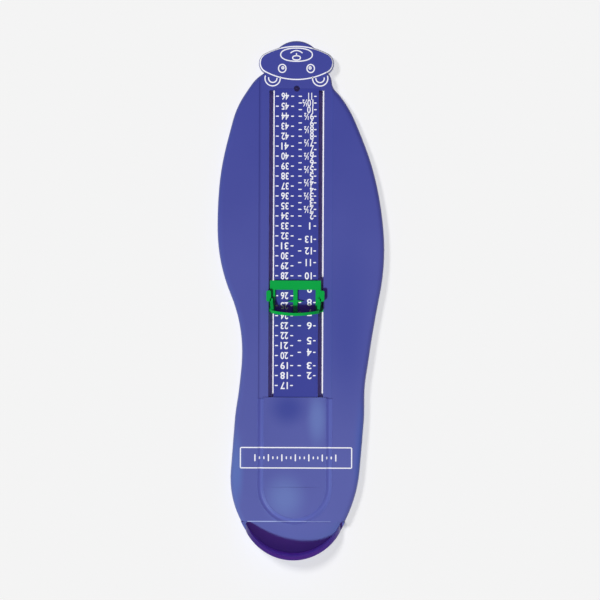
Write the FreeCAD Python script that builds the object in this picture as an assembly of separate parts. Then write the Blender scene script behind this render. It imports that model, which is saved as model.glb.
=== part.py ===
import FreeCAD, Part
import math
import os

# Foot gauge: a foot-shaped plate with a heel wall, a printed strip between two slots, and a
# toe stop that slides along them. Millimetres. While it is modelled, x = 0 is the middle of the
# track, y = 0 is the face the heel rests against, and z = 0 is the table; y runs to the toes.

V = FreeCAD.Vector

# ---- Foot plate ------------------------------------------------------------------------------
PLATE_HEIGHT = 7.0        # plate's top above the table
EDGE_ROUND = 3.5          # rounding along the plate's upper edge
RIM = 2.2                 # down-turned rim
SKIN = 2.4                # thickness of the plate's top
HEEL_X = -1.3             # middle of the heel, to the left of the track
HEEL_RADIUS = 37.2        # round end of the plate
HEEL_ARC = 56.0           # degrees of the round end on each side of its middle
# Width of the foot on the left and the right of the track, at distances from the heel stop
FOOT_WIDTHS = [
    (24.0, 37.5, 34.6),
    (87.0, 40.8, 45.6),
    (114.0, 37.4, 46.5),
    (130.0, 36.0, 48.8),
    (216.0, 52.7, 58.4),
    (272.0, 47.2, 46.1),
    (306.0, 35.4, 29.1),
]
TOE_TIP = 325.5           # far end of the foot, under the head
NECK_RIGHT = [(24.6, 14.2), (21.9, 5.5)]      # x, and distance back from the toe tip
NECK_LEFT = (23.7, 5.4)

# ---- Head ------------------------------------------------------------------------------------
HEAD_X = -0.3
HEAD_Y = 327.9
HEAD_HALF_WIDTH = 25.1
HEAD_HALF_LENGTH = 11.9
HEAD_END_RADIUS = 7.5     # round ends of the head's oval
CHIN_RADIUS = 17.5
CHIN_REACH = 3.1          # chin beyond the head's oval

# ---- Track -----------------------------------------------------------------------------------
SLOT_HEEL_END = 104.4
SLOT_LENGTH = 205.1
SLOT_WIDTH = 3.5
STRIP_WIDTH = 29.6
STRIP_THICK = 1.8
RECESS_DEPTH = 0.8        # track floor and head below the plate's top
NECK_Y = 321.4            # notches between foot and head
GROOVE_WIDTH = 3.8
GROOVE_X = -0.4           # middle of the U-shaped groove
GROOVE_RADIUS = 22.9      # from its middle to the groove's centreline
GROOVE_END = 21.4         # lowest point of the U, from the heel stop
DISH_DEPTH = 0.35         # hollow of the island inside the U
DISH_MARGIN = 1.5         # level edge between the hollow and the groove

# ---- Scale strip -----------------------------------------------------------------------------
STRIP_HEEL_GAP = 0.25
STRIP_TAB_LENGTH = 1.25   # strip beyond the slots at the toe end
STRIP_TAB_EXTRA = 1.2     # its extra width on each side there
STRIP_RIB_X = 9.0
STRIP_RIB_WIDTH = 1.4
STRIP_RIB_HEIGHT = 1.7
LEDGE_LENGTH = 5.5        # ledges under both ends of the strip
LEDGE_ROOT = 7.0          # how far a ledge reaches under the plate
LEDGE_SIDE_GAP = 0.4
PIN_RADIUS = 1.3
PIN_FIT = 0.05            # round pins and studs in their holes
SEAM_GAP = 0.05           # between pieces that butt against each other
HANG_HOLE_RADIUS = 2.0

# ---- Heel cup --------------------------------------------------------------------------------
SEAM_Y = 21.2             # seam between the plate and the heel cup
HEEL_WALL = 2.0
HEEL_WALL_RISE = 18.8     # arched wall above the plate
HEEL_ARCH_HALF_WIDTH = 31.7
TONGUE_REACH = 8.0        # plate's tongue under the heel cup
TONGUE_ROOT = 5.0
TONGUE_WIDTH = 46.0
TONGUE_THICK = 2.0
STUD_SPACING = 30.0
STUD_RADIUS = 1.5
STUD_HEAD_EXTRA = 0.45    # snap head beyond the stud, above its tapered tip
STUD_HEAD_LENGTH = 1.2
STUD_TIP_RADIUS = 1.0

# ---- Ribs under the plate --------------------------------------------------------------------
RIB_THICK = 1.3
RIB_FOOT_GAP = 0.8        # ribs and guide walls stay this far above the table
GUIDE_WALL = 1.4
CROSS_RIB_PITCH = 34.0

# ---- Slider ----------------------------------------------------------------------------------
INDEX_Y = 169.0           # pointer at rest
SLIDE_GAP = 0.15
FRAME_THICK = 2.0
BAR_HALF_WIDTH = 17.1
BAR_LENGTH = 5.7
WINDOW_LENGTH = 20.0      # from the bar to the stop
WINDOW_ABOVE_INDEX = 7.7  # pointer to the bar
RAIL_INNER = 13.4
RAIL_OUTER = 15.4
RIB_WIDTH = 2.6
POINTER_REACH = 5.3
POINTER_WIDTH = 2.0
STOP_AHEAD = 10.0         # stop's heel face, from the pointer
STOP_RADIUS = 62.0
STOP_THICK = 2.2
STOP_RISE = 18.1
STOP_ARCH_HALF_WIDTH = 19.4
STOP_HALF_WIDTH = 17.2
GRIP_INNER = 16.5
GRIP_OUTER = 19.4
GRIP_LENGTH = 7.4
GRIP_BELOW_INDEX = 0.2
GRIP_RISE = 6.3
GRIP_CORNER = 1.1
CHEEK_THICK = 2.0
FLANGE_THICK = 0.9
LEG_LENGTH = 10.9
LEG_GAP = 0.3             # leg to slot, on each side
LEG_BELOW_INDEX = 7.5

# ---- Keeper ----------------------------------------------------------------------------------
KEEPER_THICK = 1.8
KEEPER_HALF_WIDTH = 19.8
KEEPER_BLOCK_INNER = 14.7
KEEPER_SIDE_GAP = 0.4
TENON_WIDTH = 2.0
TENON_LENGTH = 7.0
TENON_FIT = 0.05
BARB = 0.35
BARB_HEIGHT = 0.7
POCKET_DEPTH = 1.0
FINGER_WIDTH = 3.0
FINGER_LENGTH = 7.0
FINGER_SLOT = 0.8
FINGER_RISE = 0.1
FINGER_BUMP_RADIUS = 0.8

# ---- Levels and places that follow -----------------------------------------------------------
track_top = PLATE_HEIGHT - RECESS_DEPTH
skin_under = PLATE_HEIGHT - SKIN
strip_under = track_top - STRIP_THICK
ledge_under = strip_under - STRIP_RIB_HEIGHT
strip_half = STRIP_WIDTH / 2
slot_outer = strip_half + SLOT_WIDTH
slot_toe_end = SLOT_HEEL_END + SLOT_LENGTH
track_toe_end = slot_toe_end + STRIP_TAB_LENGTH
frame_under = track_top + SLIDE_GAP
frame_top = frame_under + FRAME_THICK
keeper_top = ledge_under - SLIDE_GAP
keeper_under = keeper_top - KEEPER_THICK
block_top = strip_under - SLIDE_GAP
pin_y_heel = SLOT_HEEL_END + LEDGE_LENGTH / 2
pin_y_toe = slot_toe_end - LEDGE_LENGTH / 2
leg_y = INDEX_Y - LEG_BELOW_INDEX
stud_x = (HEEL_X - STUD_SPACING / 2, HEEL_X + STUD_SPACING / 2)
stud_y = SEAM_Y - TONGUE_REACH / 2
BELOW = -1.0              # cutting tools start under the table,
ABOVE = 60.0              # end over the highest wall,
WIDE = 400.0              # and reach past the plate's outline


def box(x0, x1, y0, y1, z0, z1):
    """Block between two corners."""
    return Part.makeBox(x1 - x0, y1 - y0, z1 - z0, V(x0, y0, z0))


def post(x, y, radius, z0, z1):
    """Upright cylinder."""
    return Part.makeCylinder(radius, z1 - z0, V(x, y, z0))


def prism(points, z0, z1):
    """Upright prism over a closed polygon given as (x, y) corners."""
    corners = [V(x, y, z0) for x, y in points]
    return Part.Face(Part.makePolygon(corners + corners[:1])).extrude(V(0, 0, z1 - z0))


def mirrored(shape):
    """The same shape on the other side of the track."""
    return shape.mirror(V(0, 0, 0), V(1, 0, 0))


def both_sides(shape):
    return [shape, mirrored(shape)]


def join(solid, others):
    return solid.fuse(others).removeSplitter()


def arch_face(half_width, rise):
    """Ellipse that stands upright across the track, centred on the origin."""
    ellipse = Part.Ellipse(V(0, 0, 0), max(half_width, rise), min(half_width, rise))
    face = Part.Face(Part.Wire(ellipse.toShape()))
    if rise > half_width:
        face.rotate(V(0, 0, 0), V(0, 0, 1), 90)
    face.rotate(V(0, 0, 0), V(1, 0, 0), 90)
    return face


def top_edges(solid, z):
    """Edges that lie wholly at height z."""
    return [e for e in solid.Edges if abs(e.BoundBox.ZMin - z) < 1e-4 and abs(e.BoundBox.ZMax - z) < 1e-4]


def upright_edges(solid):
    """Straight edges that run up and down."""
    return [e for e in solid.Edges if e.BoundBox.XLength < 1e-4 and e.BoundBox.YLength < 1e-4]


# ---- Plate outline ---------------------------------------------------------------------------
def left_of(t):
    """Direction a quarter turn to the left of t."""
    return V(-t.y, t.x, 0)


def circle_centre(start, tangent, end):
    """Centre of the circle that leaves start along tangent and passes through end."""
    chord = end - start
    normal = left_of(tangent)
    return start + normal * (chord.dot(chord) / (2 * normal.dot(chord)))


def through_tangent(before, here, after):
    """Direction at here of the circle through three points."""
    a = here - before
    b = after - here
    t = a * b.dot(b) + b * a.dot(a)
    return t.normalize()


def arc_pair(start, t0, end, t1):
    """Two tangent arcs from start along t0 to end along t1, as (centre, start, end) each."""
    chord = end - start
    total = t0 + t1
    spread = 2 * (1 - t0.dot(t1))
    along = chord.dot(total)
    reach = (math.sqrt(along ** 2 + spread * chord.dot(chord)) - along) / spread
    middle = (start + end + (t0 - t1) * reach) * 0.5
    return [(circle_centre(start, t0, middle), start, middle), (circle_centre(end, t1, middle), middle, end)]


def arc_chain(points):
    """Closed chain of tangent arcs through the points, a pair of arcs to a span."""
    count = len(points)
    tangents = [through_tangent(points[i - 1], points[i], points[(i + 1) % count]) for i in range(count)]
    arcs = []
    for i in range(count):
        j = (i + 1) % count
        arcs += arc_pair(points[i], tangents[i], points[j], tangents[j])
    return arcs


def inset_face(arcs, inset):
    """Face inside a closed anticlockwise chain of arcs, brought in by inset."""
    edges = []
    for centre, start, end in arcs:
        r0 = start - centre
        r1 = end - centre
        turns_left = r0.cross(r1).z > 0
        radius = r0.Length - inset if turns_left else r0.Length + inset
        middle = (r0 + r1).normalize()
        ends = [centre + r0.normalize() * radius, centre + middle * radius, centre + r1.normalize() * radius]
        edges.append(Part.Arc(*ends).toShape())
    return Part.Face(Part.Wire(edges))


def foot_points():
    """Points round the foot: the heel's round end, up the right side, the toes, down the left."""
    centre_y = HEEL_RADIUS - HEEL_WALL
    heel = []
    for side in (-1, 0, 1):
        angle = math.radians(HEEL_ARC) * side
        heel.append(V(HEEL_X + HEEL_RADIUS * math.sin(angle), centre_y - HEEL_RADIUS * math.cos(angle), 0))
    right = [V(r, y, 0) for y, l, r in FOOT_WIDTHS] + [V(x, TOE_TIP - back, 0) for x, back in NECK_RIGHT]
    left = [V(-l, y, 0) for y, l, r in reversed(FOOT_WIDTHS)]
    x, back = NECK_LEFT
    return heel + right + [V(0, TOE_TIP, 0), V(-x, TOE_TIP - back, 0)] + left


def head_arcs():
    """Four-centred oval, anticlockwise from its right end."""
    a = HEAD_HALF_WIDTH - HEAD_END_RADIUS
    b = HEAD_HALF_LENGTH
    flat_radius = (a ** 2 + b ** 2 - HEAD_END_RADIUS ** 2) / (2 * (b - HEAD_END_RADIUS))
    drop = flat_radius - b
    middle = V(HEAD_X, HEAD_Y, 0)
    unit = V(a, drop, 0).normalize() * HEAD_END_RADIUS
    corner = {(sx, sy): middle + V(sx * (a + unit.x), sy * unit.y, 0) for sx in (-1, 1) for sy in (-1, 1)}
    return [
        (middle + V(a, 0, 0), corner[1, -1], corner[1, 1]),
        (middle + V(0, -drop, 0), corner[1, 1], corner[-1, 1]),
        (middle + V(-a, 0, 0), corner[-1, 1], corner[-1, -1]),
        (middle + V(0, drop, 0), corner[-1, -1], corner[1, -1]),
    ]


def silhouette(inset):
    """Face of the whole plate seen from above, brought in by inset: foot, head and chin."""
    foot = inset_face(arc_chain(foot_points()), inset)
    chin_y = HEAD_Y + HEAD_HALF_LENGTH + CHIN_REACH - CHIN_RADIUS
    chin = Part.Circle(V(HEAD_X, chin_y, 0), V(0, 0, 1), CHIN_RADIUS - inset)
    whole = foot.fuse([inset_face(head_arcs(), inset), Part.Face(Part.Wire(chin.toShape()))])
    return Part.Face(whole.removeSplitter().Faces[0].OuterWire)


def slab(inset, z0, z1):
    """The plate's outline, brought in by inset, from z0 up to z1."""
    face = silhouette(inset)
    face.translate(V(0, 0, z0))
    return face.extrude(V(0, 0, z1 - z0))


def plate_shell():
    """Plate with a rounded upper edge, hollow under its skin, open at the bottom."""
    outside = slab(0, 0, PLATE_HEIGHT)
    outside = outside.makeFillet(EDGE_ROUND, top_edges(outside, PLATE_HEIGHT))
    return outside.cut(slab(RIM, BELOW, skin_under))


# ---- Sunk track and groove -------------------------------------------------------------------
def groove_tool():
    """Round-bottomed groove that runs out at the head and turns round the heel in a U."""
    half = GROOVE_WIDTH / 2
    radius = (half ** 2 + RECESS_DEPTH ** 2) / (2 * RECESS_DEPTH)
    z = track_top + radius
    bend_y = GROOVE_END + GROOVE_RADIUS
    sides = [Part.makeCylinder(radius, WIDE, V(GROOVE_X + s * GROOVE_RADIUS, bend_y, z), V(0, 1, 0))
             for s in (-1, 1)]
    ring = Part.makeTorus(GROOVE_RADIUS, radius, V(GROOVE_X, bend_y, z))
    bend = ring.common(box(-WIDE, WIDE, -WIDE, bend_y, BELOW, ABOVE))
    return bend.fuse(sides)


def sunk_floor_tool():
    """Flat sunk floor between the two long grooves, and the head at the same level."""
    track = box(GROOVE_X - GROOVE_RADIUS, GROOVE_X + GROOVE_RADIUS, SLOT_HEEL_END, WIDE, track_top, ABOVE)
    return track.fuse(box(-WIDE, WIDE, NECK_Y, WIDE, track_top, ABOVE))


def island_dish():
    """Shallow hollow along the island that the U encloses."""
    half = GROOVE_RADIUS - GROOVE_WIDTH / 2 - DISH_MARGIN
    radius = (half ** 2 + DISH_DEPTH ** 2) / (2 * DISH_DEPTH)
    y0 = GROOVE_END + GROOVE_RADIUS
    y1 = SLOT_HEEL_END - LEDGE_LENGTH
    centre_z = PLATE_HEIGHT - DISH_DEPTH + radius
    trough = Part.makeCylinder(radius, y1 - y0, V(GROOVE_X, y0, centre_z), V(0, 1, 0))
    return trough.common(box(GROOVE_X - half, GROOVE_X + half, y0, y1, track_top, ABOVE))


def seam_cut(toe_side):
    """Everything on one side of the seam between plate and heel cup."""
    if toe_side:
        return box(-WIDE, WIDE, SEAM_Y, WIDE, BELOW, ABOVE)
    return box(-WIDE, WIDE, -WIDE, SEAM_Y - SEAM_GAP, BELOW, ABOVE)


# ---- Base plate ------------------------------------------------------------------------------
def under_slabs():
    """Thickened floor beside the slots, and the two ledges that carry the strip's ends."""
    edge = abs(GROOVE_X) + GROOVE_RADIUS + GROOVE_WIDTH
    floor = box(-edge, edge, SLOT_HEEL_END - LEDGE_ROOT, track_toe_end + LEDGE_ROOT, strip_under, skin_under)
    ledge_half = strip_half - LEDGE_SIDE_GAP
    heel = box(-ledge_half, ledge_half, SLOT_HEEL_END - LEDGE_ROOT, SLOT_HEEL_END + LEDGE_LENGTH,
               ledge_under, strip_under)
    toe = box(-ledge_half, ledge_half, slot_toe_end - LEDGE_LENGTH, track_toe_end + LEDGE_ROOT,
              ledge_under, strip_under)
    return [floor, heel, toe]


def under_wall(x0, y0, x1, y1):
    """Wall under the plate's skin, a little clear of the table."""
    return box(x0, x1, y0, y1, RIB_FOOT_GAP, skin_under)


def guide_walls():
    """Walls under the plate on both sides of the keeper's path."""
    x0 = KEEPER_HALF_WIDTH + KEEPER_SIDE_GAP
    return both_sides(under_wall(x0, SLOT_HEEL_END - LEDGE_ROOT, x0 + GUIDE_WALL, track_toe_end + LEDGE_ROOT))


def cross_ribs():
    """Ribs from the guide walls to the rim, and a ladder of ribs under the heel end."""
    inner = KEEPER_HALF_WIDTH + KEEPER_SIDE_GAP + GUIDE_WALL / 2
    ladder_heel = SEAM_Y + TONGUE_ROOT
    ladder_toe = SLOT_HEEL_END - LEDGE_ROOT
    beyond = track_toe_end + LEDGE_ROOT
    ribs = both_sides(under_wall(inner - RIB_THICK, ladder_heel, inner, ladder_toe))
    ribs.append(under_wall(-WIDE, beyond, WIDE, beyond + RIB_THICK))
    for i in range(int((ladder_toe - ladder_heel) / CROSS_RIB_PITCH) + 1):
        y = ladder_toe - i * CROSS_RIB_PITCH
        ribs.append(under_wall(-WIDE, y - RIB_THICK, WIDE, y))
    for i in range(int(SLOT_LENGTH / CROSS_RIB_PITCH)):
        y = SLOT_HEEL_END + (i + 0.5) * CROSS_RIB_PITCH
        ribs += both_sides(under_wall(inner, y, WIDE, y + RIB_THICK))
    return ribs


def tongue():
    """Tongue under the heel cup's floor, with a hole for each of its studs."""
    half = TONGUE_WIDTH / 2
    blade = box(HEEL_X - half, HEEL_X + half, SEAM_Y - TONGUE_REACH, SEAM_Y + TONGUE_ROOT,
                skin_under - TONGUE_THICK, skin_under)
    return blade.cut([post(x, stud_y, STUD_RADIUS + PIN_FIT, BELOW, ABOVE) for x in stud_x])


def slot_openings():
    """The opening that the strip divides into two slots, and the strip's seat at the toe end."""
    opening = box(-slot_outer, slot_outer, SLOT_HEEL_END, slot_toe_end, BELOW, ABOVE)
    ledge_half = strip_half - LEDGE_SIDE_GAP
    for y in (SLOT_HEEL_END, slot_toe_end - LEDGE_LENGTH):
        opening = opening.cut(box(-ledge_half, ledge_half, y, y + LEDGE_LENGTH, ledge_under, strip_under))
    tab_half = strip_half + STRIP_TAB_EXTRA + SEAM_GAP
    seat = box(-tab_half, tab_half, slot_toe_end, track_toe_end + SEAM_GAP, strip_under, ABOVE)
    return opening.fuse(seat)


def pin_holes(radius, z0, z1):
    """Upright round holes or pins, two at each end of the strip."""
    return [post(x, y, radius, z0, z1)
            for x in (-STRIP_RIB_X, STRIP_RIB_X) for y in (pin_y_heel, pin_y_toe)]


def hang_hole():
    """Hole to hang the gauge by, half in the strip's end and through the ledge under it."""
    return post(0, track_toe_end, HANG_HOLE_RADIUS, BELOW, ABOVE)


def base_plate():
    inside = slab(RIM / 2, 0, skin_under)
    added = [rib.common(inside) for rib in cross_ribs() + guide_walls() + under_slabs()]
    plate = plate_shell().fuse(added).common(seam_cut(toe_side=True))
    plate = plate.fuse(tongue())
    tools = [groove_tool(), sunk_floor_tool(), island_dish(), slot_openings(), hang_hole()]
    plate = plate.cut(tools + pin_holes(PIN_RADIUS + PIN_FIT, BELOW, strip_under))
    return plate.removeSplitter()


# ---- Heel cup --------------------------------------------------------------------------------
def heel_arch():
    """Everything under the arched top of the heel wall."""
    arch = arch_face(HEEL_ARCH_HALF_WIDTH, HEEL_WALL_RISE)
    arch.translate(V(HEEL_X, SEAM_Y, PLATE_HEIGHT))
    return arch.extrude(V(0, -WIDE, 0)).fuse(box(-WIDE, WIDE, -WIDE, SEAM_Y, BELOW, PLATE_HEIGHT))


def snap_stud(x):
    """Stud through the tongue, with a tapered head that springs out under it."""
    head_top = skin_under - TONGUE_THICK - PIN_FIT
    stem = post(x, stud_y, STUD_RADIUS, head_top, skin_under)
    return stem.fuse(Part.makeCone(STUD_TIP_RADIUS, STUD_RADIUS + STUD_HEAD_EXTRA, STUD_HEAD_LENGTH,
                                   V(x, stud_y, head_top - STUD_HEAD_LENGTH)))


def heel_cup():
    wall = slab(0, 0, ABOVE).cut(slab(HEEL_WALL, BELOW, ABOVE)).common(heel_arch())
    floor = slab(HEEL_WALL / 2, skin_under, PLATE_HEIGHT)
    cup = join(wall, [floor]).common(seam_cut(toe_side=False))
    return join(cup, [snap_stud(x) for x in stud_x]).cut(groove_tool()).removeSplitter()


# ---- Scale strip -----------------------------------------------------------------------------
def scale_strip():
    bar = box(-strip_half, strip_half, SLOT_HEEL_END + STRIP_HEEL_GAP, slot_toe_end, strip_under, track_top)
    tab_half = strip_half + STRIP_TAB_EXTRA
    tab = box(-tab_half, tab_half, slot_toe_end + SEAM_GAP, track_toe_end, strip_under, track_top)
    neck = box(-strip_half, strip_half, slot_toe_end, slot_toe_end + SEAM_GAP, strip_under, track_top)
    ribs = both_sides(box(STRIP_RIB_X - STRIP_RIB_WIDTH / 2, STRIP_RIB_X + STRIP_RIB_WIDTH / 2,
                          SLOT_HEEL_END + LEDGE_LENGTH + SLIDE_GAP, slot_toe_end - LEDGE_LENGTH - SLIDE_GAP,
                          ledge_under, strip_under))
    pins = pin_holes(PIN_RADIUS, ledge_under, strip_under)
    strip = join(bar, [tab, neck] + ribs + pins)
    return strip.cut(hang_hole())


# ---- Toe slider ------------------------------------------------------------------------------
def slider_frame():
    """Flat frame over the strip: bar, rails, centre rib and the two pointers."""
    bar_y = INDEX_Y + WINDOW_ABOVE_INDEX
    stop_y = bar_y - WINDOW_LENGTH
    chamfer = BAR_HALF_WIDTH - RAIL_OUTER
    bar = prism([(-RAIL_OUTER, bar_y), (RAIL_OUTER, bar_y), (BAR_HALF_WIDTH, bar_y + chamfer),
                 (BAR_HALF_WIDTH, bar_y + BAR_LENGTH), (-BAR_HALF_WIDTH, bar_y + BAR_LENGTH),
                 (-BAR_HALF_WIDTH, bar_y + chamfer)], frame_under, frame_top)
    rails = both_sides(box(RAIL_INNER, RAIL_OUTER, stop_y + STOP_THICK, bar_y, frame_under, frame_top))
    rib = box(-RIB_WIDTH / 2, RIB_WIDTH / 2, stop_y, bar_y, frame_under, frame_top)
    half = POINTER_WIDTH / 2
    pointer = prism([(0, INDEX_Y - half), (POINTER_REACH, INDEX_Y), (0, INDEX_Y + half)],
                    frame_under, frame_top)
    return join(bar, rails + [rib] + both_sides(pointer))


def stop_wall():
    """Upright wall, bowed towards the heel in plan and arched along its top."""
    centre_y = INDEX_Y - STOP_AHEAD + STOP_RADIUS
    outer = post(0, centre_y, STOP_RADIUS, frame_under, ABOVE)
    inner = post(0, centre_y, STOP_RADIUS - STOP_THICK, BELOW, ABOVE)
    arch = arch_face(STOP_ARCH_HALF_WIDTH, STOP_RISE)
    arch.translate(V(0, INDEX_Y, track_top))
    span = box(-STOP_HALF_WIDTH, STOP_HALF_WIDTH, -WIDE, INDEX_Y, BELOW, ABOVE)
    return outer.cut(inner).common(arch.extrude(V(0, -INDEX_Y, 0))).common(span)


def side_wing():
    """Right-hand cheek and finger grip, the flange that ties them to the rail, and the leg."""
    grip_y = INDEX_Y - GRIP_BELOW_INDEX
    grip_top = track_top + GRIP_RISE
    stop_y = INDEX_Y - STOP_AHEAD + STOP_HALF_WIDTH ** 2 / (2 * STOP_RADIUS)
    grip = box(GRIP_INNER, GRIP_OUTER, grip_y, grip_y + GRIP_LENGTH, frame_under, grip_top)
    grip = grip.makeFillet(GRIP_CORNER, upright_edges(grip))
    cheek = prism([(STOP_HALF_WIDTH - CHEEK_THICK, stop_y), (STOP_HALF_WIDTH, stop_y),
                   (GRIP_OUTER, grip_y + CHEEK_THICK), (GRIP_OUTER - CHEEK_THICK, grip_y + CHEEK_THICK)],
                  frame_under, ABOVE)
    corner_rise = STOP_RISE * math.sqrt(1 - (STOP_HALF_WIDTH / STOP_ARCH_HALF_WIDTH) ** 2)
    slope = [V(0, stop_y, BELOW), V(0, stop_y, track_top + corner_rise), V(0, grip_y, grip_top),
             V(0, grip_y + GRIP_LENGTH, grip_top), V(0, grip_y + GRIP_LENGTH, BELOW)]
    side = Part.Face(Part.makePolygon(slope + slope[:1])).extrude(V(2 * GRIP_OUTER, 0, 0))
    flange = box(RAIL_OUTER - CHEEK_THICK / 2, GRIP_INNER + CHEEK_THICK / 2, stop_y + CHEEK_THICK,
                 grip_y + GRIP_LENGTH, frame_under, frame_under + FLANGE_THICK)
    return join(grip, [cheek.common(side), flange] + slider_leg())


def slider_leg():
    """Leg down through the slot, its tenon, and the barbs that catch inside the keeper."""
    x0 = strip_half + LEG_GAP
    x1 = slot_outer - LEG_GAP
    mid_x = (x0 + x1) / 2
    mid_y = leg_y + LEG_LENGTH / 2
    leg = box(x0, x1, leg_y, leg_y + LEG_LENGTH, block_top, frame_under + FLANGE_THICK)
    foot = keeper_under + POCKET_DEPTH - TENON_FIT - BARB_HEIGHT
    half_x = TENON_WIDTH / 2
    half_y = TENON_LENGTH / 2
    tenon = box(mid_x - half_x, mid_x + half_x, mid_y - half_y, mid_y + half_y, foot, block_top)
    barb = [V(mid_x - half_x, mid_y - half_y, foot), V(mid_x - half_x, mid_y + half_y, foot),
            V(mid_x - half_x, mid_y + half_y + BARB, foot + BARB_HEIGHT),
            V(mid_x - half_x, mid_y - half_y - BARB, foot + BARB_HEIGHT)]
    barbs = Part.Face(Part.makePolygon(barb + barb[:1])).extrude(V(TENON_WIDTH, 0, 0))
    return [leg, tenon, barbs]


def toe_slider():
    """One moulding; heelwards of its legs it is raised enough to pass over the plate's full height."""
    slider = join(slider_frame(), [stop_wall()] + both_sides(side_wing()))
    return slider.cut(box(-WIDE, WIDE, -WIDE, leg_y, BELOW, PLATE_HEIGHT + SLIDE_GAP))


# ---- Slider keeper ---------------------------------------------------------------------------
def slider_keeper():
    """Clip under the strip: a plate, a socket block for each leg, and two spring fingers."""
    y0 = leg_y
    y1 = leg_y + LEG_LENGTH
    plate = box(-KEEPER_HALF_WIDTH, KEEPER_HALF_WIDTH, y0, y1, keeper_under, keeper_top)
    block = box(KEEPER_BLOCK_INNER, KEEPER_HALF_WIDTH, y0, y1, keeper_top, block_top)
    keeper = join(plate, both_sides(block))
    mid_x = (strip_half + slot_outer) / 2
    mid_y = (y0 + y1) / 2
    half_x = TENON_WIDTH / 2 + TENON_FIT
    half_y = TENON_LENGTH / 2 + TENON_FIT
    socket = box(mid_x - half_x, mid_x + half_x, mid_y - half_y, mid_y + half_y, BELOW, ABOVE)
    reach = half_y + BARB + TENON_FIT
    pocket = box(mid_x - half_x, mid_x + half_x, mid_y - reach, mid_y + reach, BELOW,
                 keeper_under + POCKET_DEPTH)
    return keeper.cut(both_sides(socket.fuse(pocket)) + both_sides(finger_slots())).fuse(
        both_sides(finger_bump())).removeSplitter()


def finger_slots():
    """Slot round three sides of a spring finger."""
    root_y = leg_y + (LEG_LENGTH - FINGER_LENGTH) / 2
    tip_y = root_y + FINGER_LENGTH
    half = FINGER_WIDTH / 2
    outer = box(STRIP_RIB_X - half - FINGER_SLOT, STRIP_RIB_X + half + FINGER_SLOT,
                root_y, tip_y + FINGER_SLOT, BELOW, ABOVE)
    return outer.cut(box(STRIP_RIB_X - half, STRIP_RIB_X + half, root_y, tip_y, BELOW, ABOVE))


def finger_bump():
    """Rounded bump near a finger's tip, which rubs on the strip's rib."""
    tip_y = leg_y + (LEG_LENGTH + FINGER_LENGTH) / 2
    half = FINGER_WIDTH / 2
    return Part.makeCylinder(FINGER_BUMP_RADIUS, FINGER_WIDTH,
                             V(STRIP_RIB_X - half, tip_y - FINGER_BUMP_RADIUS - FINGER_SLOT,
                               keeper_top + FINGER_RISE - FINGER_BUMP_RADIUS), V(1, 0, 0))


# ---- Whole gauge -----------------------------------------------------------------------------
def main():
    nodes = {
        "base_plate": base_plate(),
        "heel_cup": heel_cup(),
        "scale_strip": scale_strip(),
        "toe_slider": toe_slider(),
        "slider_keeper": slider_keeper(),
    }
    whole = Part.makeCompound(list(nodes.values())).optimalBoundingBox(False, False)
    shift = V(-whole.Center.x, -whole.Center.y, -whole.ZMin)
    print("box", [round(v, 4) for v in (whole.XLength, whole.YLength, whole.ZLength)])
    print("origin moves by", [round(v, 4) for v in shift])
    os.makedirs("parts", exist_ok=True)
    for name, shape in nodes.items():
        shape.translate(shift)
        print(name, "solids", len(shape.Solids), "valid", shape.isValid(), "volume", round(shape.Volume, 1))
        shape.exportStep("parts/" + name + ".step")


main()
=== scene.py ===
import bmesh
import bpy
import math
import numpy as np
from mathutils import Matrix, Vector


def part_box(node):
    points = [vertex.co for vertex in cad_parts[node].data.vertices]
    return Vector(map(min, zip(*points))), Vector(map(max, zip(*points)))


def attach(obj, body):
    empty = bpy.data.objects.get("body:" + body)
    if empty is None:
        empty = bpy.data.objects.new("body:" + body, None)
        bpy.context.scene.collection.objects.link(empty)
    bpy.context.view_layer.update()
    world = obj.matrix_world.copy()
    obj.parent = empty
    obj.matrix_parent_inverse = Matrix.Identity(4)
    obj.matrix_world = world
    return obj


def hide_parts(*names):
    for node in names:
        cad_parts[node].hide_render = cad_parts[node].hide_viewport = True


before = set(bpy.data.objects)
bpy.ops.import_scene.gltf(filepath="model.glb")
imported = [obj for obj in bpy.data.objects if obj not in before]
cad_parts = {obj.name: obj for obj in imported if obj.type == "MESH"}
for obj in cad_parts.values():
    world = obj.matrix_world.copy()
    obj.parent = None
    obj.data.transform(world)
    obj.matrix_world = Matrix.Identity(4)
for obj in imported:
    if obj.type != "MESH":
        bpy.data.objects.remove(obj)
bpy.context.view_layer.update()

# Foot gauge. Places and sizes are in millimetres, as on the moulded part: x = 0 is the middle of the
# track, y = 0 is the face the heel rests against, y runs to the toes, and levels are above the table.
MM = 0.001
HEEL_WALL = 2.0                           # thickness of the heel wall
strip_low, strip_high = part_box("scale_strip")
heel_low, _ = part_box("heel_cup")
TRACK_X = (strip_low.x + strip_high.x) / 2
HEEL_STOP_Y = heel_low.y + HEEL_WALL * MM
STRIP_TOP = strip_high.z                  # in metres, as the two places above
HEEL_END, TOE_END = -2, 345               # between which the gauge's tones are given
PLATE_TOP = 7.0
INK = 0.03                                # thickness of the printed ink
GROOVE_X, BEND_Y = -0.4, 44.3             # centre of the bend of the U-shaped groove
GROOVE_RADIUS = 22.9                      # of the bend's centreline
BED_HALF, BED_END = 2.35, 103.9           # half width of the groove's soft channel, and its legs' end
BED_RIM, BED_DEPTH = 7.03, 0.75           # level of the channel's edges, and its depth below them


# ---- Places and meshes -----------------------------------------------------------------------
def on_gauge(x, y, z):
    """Gauge millimetres x and y, and a height z in metres, as points in the row's frame."""
    x, y, z = np.broadcast_arrays(np.asarray(x, float), np.asarray(y, float), np.asarray(z, float))
    return np.stack([TRACK_X + x * MM, HEEL_STOP_Y + y * MM, z], axis=-1)


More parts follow.
